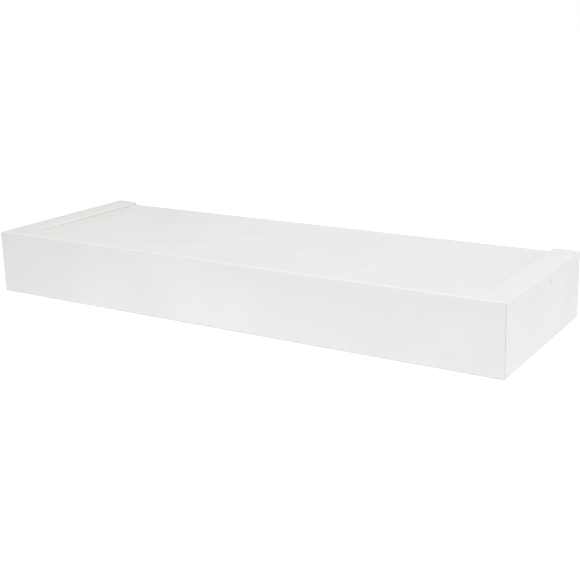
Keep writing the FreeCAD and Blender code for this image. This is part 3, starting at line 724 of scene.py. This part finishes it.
def make_lock_insert(side_name, across):
    """Threaded bush for wood: coarse thread outside, hexagon mouth for its driver."""
    shape = bmesh.new()
    mouth, inner_end = bush_low.z / MM, bush_high.z / MM
    place = Matrix.Translation((across, LOCK_LINE, 0))
    inside = [level(4.0, mouth + 0.45), level(4.4, mouth + 0.4), level(4.1, mouth),
              hexagon(6.56, mouth), hexagon(BUSH_KEY_WIDTH, mouth + 0.25),
              hexagon(BUSH_KEY_WIDTH, mouth + 2.5), level(BUSH_BORE, mouth + 2.5),
              level(BUSH_BORE, inner_end - 0.3), level(3.3, inner_end),
              level(4.1, inner_end), level(4.4, inner_end - 0.4), level(4.0, inner_end - 0.45)]
    shell(shape, place, inside)
    thread(shape, place, mouth, inner_end, BUSH_PITCH, BLADE_THREAD,
           run_in(BUSH_ROOT, BUSH_CREST, mouth, inner_end, 0.6))
    add_piece(shape, f"lock_insert_{side_name}_turned", "shelf", brass,
              f"lock_insert_{side_name}")


make_wall_screws()
for side_name, across in (("left", -ROD_ACROSS), ("right", ROD_ACROSS)):
    make_lock_screw(side_name, across)
    make_lock_insert(side_name, across)


# ---------------------------------------------------------------- welds, putty and dowels
def make_rod_welds():
    """Three beads round the rods' feet, each a row of overlapping crescents of set steel.

    The crescents lean over the bead and start at another angle on each rod, and the bead's toes
    wander by about a percent of its leg.
    """
    shape = bmesh.new()
    leg = (WELD_TOP - ROD_RADIUS) / MM
    crescents = 26
    bulge, ripple_height = 0.12, 0.16
    for number, across in enumerate((-ROD_ACROSS, 0, ROD_ACROSS)):
        place = Matrix.Translation((across, PLATE_FACE, 0)) @ OUT_OF_WALL

        def bead_ring(share):
            """Ring of the bead, from its toe on the plate (0) to its toe on the rod (1)."""
            def ring(angle):
                swell = math.sin(math.pi * share)
                lap = crescents * angle + 2.2 * swell + 1.7 * number
                ripple = ripple_height * swell * (1 - abs(math.sin(lap / 2))) * 2
                sway = 0.12 * math.sin(3 * angle + number) + 0.07 * math.sin(7 * angle + 2)
                reach = leg * (1 - 0.06 * (1 + sway))
                radius = ROD_RADIUS / MM + reach * (1 - share) + (bulge + ripple) * swell
                return radius, reach * share + (bulge + ripple) * swell
            return ring

        shell(shape, place, [bead_ring(step / 10) for step in range(11)], 8 * crescents)
    add_piece(shape, "rod_weld_beads", "bracket", black_coat,
              "rod_welds", sharp_degrees=60)


def make_mitre_dowels():
    """Beech dowels, 6 by 20 mm, with flutes that let the glue out and chamfered ends."""
    shape = bmesh.new()
    radius, half_length, flutes, flute_depth = 3, 10, 16, 0.16
    reach = half_length * math.sqrt(0.5) + radius * math.sqrt(0.5)
    across = dowel_high.x - reach * MM
    out = dowel_low.y + reach * MM
    up = dowel_high.z - radius * MM

    def fluted(height):
        """Ring with shallow grooves along the dowel."""
        return lambda angle: (radius - flute_depth * max(0, math.cos(flutes * angle)), height)

    for side in (-1, 1):
        lay = Vector((side, 1, 0)).to_track_quat("Z", "Y").to_matrix().to_4x4()
        for row in (-up, up):
            place = Matrix.Translation((side * across, out, row)) @ lay
            shell(shape, place, [level(0, -half_length), level(2.3, -half_length), fluted(-9.3),
                                 fluted(9.3), level(2.3, half_length), level(0, half_length)])
    add_piece(shape, "mitre_dowels_fluted", "shelf", beech, "mitre_dowels")


def make_nail_fillers():
    """Putty rubbed flush over the four nails. The upper right one sank a little as it dried."""
    radius = NAIL_RADIUS / MM
    # Rubbing down left the putty this far below the board, in mm.
    surface = (HALF_LENGTH - filler_high.x) / MM - 0.04
    back = -0.45
    flush_dip, sunk_dip, unevenness = 0.02, 0.05, 0.02
    flush, sunk = bmesh.new(), bmesh.new()
    for side in (-1, 1):
        outward = Vector((side, 0, 0)).to_track_quat("Z", "Y").to_matrix().to_4x4()
        for row in (-NAIL_UP, NAIL_UP):
            place = Matrix.Translation((side * filler_high.x, NAIL_LINE, row)) @ outward
            low = side > 0 and row > 0
            dip = sunk_dip if low else flush_dip

            def rubbed(share, place=place, dip=dip):
                """Ring of the putty's face, uneven by a few hundredths of a millimetre."""
                def ring(angle):
                    spot = place @ Vector((math.cos(angle), math.sin(angle), share))
                    uneven = unevenness * noise.noise(spot * 2.5) * share
                    return radius * share, surface - dip * (1 - share ** 2) + uneven
                return ring

            rings = [rubbed(share) for share in (0, 0.2, 0.4, 0.6, 0.8, 0.92, 1)]
            shell(sunk if low else flush, place, rings + [level(radius, back)])
    add_piece(flush, "nail_fillers_flush", "shelf", putty, "nail_fillers",
              sharp_degrees=60)
    add_piece(sunk, "nail_filler_sunk", "shelf", sunk_putty, "nail_fillers",
              sharp_degrees=60)


def make_support_rod(side_name, across):
    """Round bar, 12 mm, with its tip turned down to a lead-in and its arris broken."""
    shape = bmesh.new()
    radius, tip, lead_in = ROD_RADIUS / MM, (rod_high.y - rod_low.y) / MM, 1.75
    place = Matrix.Translation((across, rod_high.y, 0)) @ OUT_OF_WALL
    shell(shape, place, [level(0, 0), level(radius, 0), level(radius, 40),
                         level(radius, tip - 40), level(radius, tip - lead_in),
                         level(radius - 0.12, tip - 1.4), level(radius - 1.4, tip - 0.12),
                         level(radius - lead_in, tip), level(0, tip)])
    add_piece(shape, f"support_rod_{side_name}_bar", "bracket",
              black_coat, f"support_rod_{side_name}", sharp_degrees=25)


make_rod_welds()
for side_name, across in (("left", -ROD_ACROSS), ("centre", 0), ("right", ROD_ACROSS)):
    make_support_rod(side_name, across)
make_mitre_dowels()
make_nail_fillers()


# ---------------------------------------------------------------- floor, light and camera
# The floor lies this far below the shelf, and reaches this far out, in metres.
FLOOR_DROP = 0.30
FLOOR_HALF = 14.0
# The paper shows this share of the light on it, and a glow that grows to white between two
# distances in metres from the shelf.
SHADOW_SHARE = 0.35
PAPER_GLOW = 0.84
GLOW_START = 0.45
GLOW_FULL = 1.3
# Strength of the studio's white walls as a light.
SKY = 0.25
WHITE = (1.0, 1.0, 1.0, 1.0)


def seen_directly(tree):
    """1 for what the camera sees, also in gloss or through glass, and 0 for light on pieces."""
    camera = add(tree, "LightPath", {}, "Is Camera Ray")
    rays = camera.node.outputs
    mirrored_too = add(tree, "Math", [camera, rays["Is Glossy Ray"]], operation="MAXIMUM")
    return add(tree, "Math", [mirrored_too, rays["Is Transmission Ray"]], operation="MAXIMUM")


def white_paper():
    """Matt white background paper.

    It glows to white further out, keeps a soft shadow under the shelf, and is clear from below.
    """
    material, tree, shader, place = start_material("white_paper")
    # Paper is cloudy over about 30 mm.
    clouds = add(tree, "TexNoise", {"Vector": place, "Scale": cells(30), "Detail": 2.0})
    paper = add(tree, "Mix", {0: clouds, FROM: colour("#F4F4F3"), TO: colour("#F2F2F1")}, MIXED,
                **COLOURS)
    connect(tree, shader, {"Base Color": paper, "Roughness": 0.9})
    shadowed = add(tree, "BsdfDiffuse", [(SHADOW_SHARE,) * 3 + (1.0,)])
    away = add(tree, "VectorMath", [place], "Value", operation="LENGTH")
    brightness = add(tree, "MapRange", [away, GLOW_START, GLOW_FULL, PAPER_GLOW, 1.0], **SMOOTH)
    glow = add(tree, "Emission", {"Color": WHITE, "Strength": brightness})
    shown = add(tree, "AddShader", [shadowed, glow])
    surface = add(tree, "MixShader", [seen_directly(tree), shader.outputs["BSDF"], shown])
    clear = add(tree, "BsdfTransparent", {})
    below = add(tree, "NewGeometry", {}, "Backfacing")
    open_below = add(tree, "MixShader", [below, surface, clear])
    connect(tree, tree.nodes["Material Output"], {"Surface": open_below})
    return material


def make_floor():
    """Sheet of background paper below the shelf."""
    place = Matrix.Translation((0, 0, -HALF_HEIGHT - FLOOR_DROP))
    mesh = bpy.data.meshes.new("paper_floor")
    shape = bmesh.new()
    bmesh.ops.create_grid(shape, x_segments=4, y_segments=4, size=FLOOR_HALF, matrix=place)
    shape.to_mesh(mesh)
    shape.free()
    floor = bpy.data.objects.new("paper_floor", mesh)
    bpy.context.scene.collection.objects.link(floor)
    mesh.materials.append(white_paper())


def make_sky():
    """Even white walls round the shelf: a weak light on it, and plain white where seen."""
    world = bpy.data.worlds.new("white_studio")
    bpy.context.scene.world = world
    world.use_nodes = True
    tree = world.node_tree
    strength = add(tree, "MapRange", {"Value": seen_directly(tree), "To Min": SKY, "To Max": 1.0})
    connect(tree, tree.nodes["Background"], {"Color": WHITE, "Strength": strength})


# Cloth and card are plain white, but for the two boards in front, which are a little cooler.
COOL_WHITE = colour("#FAFBFF")
# Name, place, width and height in metres, power in watts, tint. Each faces the shelf.
SOFTBOXES = [
    ("softbox_overhead", (0.25, -0.10, 1.50), (1.2, 0.9), 15.1, WHITE),
    ("softbox_front", (0.30, -1.10, 1.20), (1.2, 0.8), 2.4, WHITE),
    ("softbox_right", (2.00, -0.60, 0.50), (1.0, 1.0), 8.1, WHITE),
    ("softbox_rear_right", (1.80, 0.70, 0.50), (0.8, 0.8), 2.5, WHITE),
    ("bounce_front", (0.10, -0.75, -0.19), (1.2, 0.26), 1.82, COOL_WHITE),
    ("bounce_front_left", (-0.35, -0.60, -0.20), (0.4, 0.20), 0.31, COOL_WHITE),
    ("bounce_right", (0.62, -0.12, -0.27), (0.3, 0.10), 0.375, WHITE),
]


def make_softboxes():
    """Large soft lamps, which the camera doesn't see."""
    for name, place, (width, height), power, tint in SOFTBOXES:
        lamp = bpy.data.lights.new(name, "AREA")
        lamp.shape = "RECTANGLE"
        lamp.size = width
        lamp.size_y = height
        lamp.energy = power
        lamp.color = tint[:3]
        holder = bpy.data.objects.new(name, lamp)
        holder.location = place
        holder.rotation_euler = (-Vector(place)).to_track_quat("-Z", "Y").to_euler()
        holder.visible_camera = False
        bpy.context.scene.collection.objects.link(holder)


# The camera stands to the right of the shelf and a little above it. Its sensor and lens are in
# millimetres, and its shift is a share of the picture's width.
CAMERA_PLACE = Vector((604.69, -1004.53, 294.67)) * MM
CAMERA_AZIMUTH = math.radians(31.514)
CAMERA_ELEVATION = math.radians(14.288)
CAMERA_ROLL = math.radians(-1.224)
CAMERA_SENSOR = 36
CAMERA_LENS = 64.43
CAMERA_SHIFT = (-0.03926, -0.06034)


def make_camera():
    """Camera that looks down at the front and the right end, rolled by about a degree."""
    sideways = Vector((math.cos(CAMERA_AZIMUTH), math.sin(CAMERA_AZIMUTH), 0))
    back = Vector((math.sin(CAMERA_AZIMUTH) * math.cos(CAMERA_ELEVATION),
                   -math.cos(CAMERA_AZIMUTH) * math.cos(CAMERA_ELEVATION),
                   math.sin(CAMERA_ELEVATION)))
    upward = back.cross(sideways)
    right = sideways * math.cos(CAMERA_ROLL) + upward * math.sin(CAMERA_ROLL)
    up = upward * math.cos(CAMERA_ROLL) - sideways * math.sin(CAMERA_ROLL)
    lens = bpy.data.cameras.new("camera")
    lens.sensor_width = CAMERA_SENSOR
    lens.lens = CAMERA_LENS
    lens.shift_x, lens.shift_y = CAMERA_SHIFT
    lens.clip_start = 0.01
    lens.clip_end = 100
    camera = bpy.data.objects.new("camera", lens)
    turn = Matrix((right, up, back)).transposed()
    camera.matrix_world = Matrix.Translation(CAMERA_PLACE) @ turn.to_4x4()
    bpy.context.scene.collection.objects.link(camera)
    bpy.context.scene.camera = camera


make_floor()
make_sky()
make_softboxes()
make_camera()
bpy.context.scene.view_settings.view_transform = "Standard"
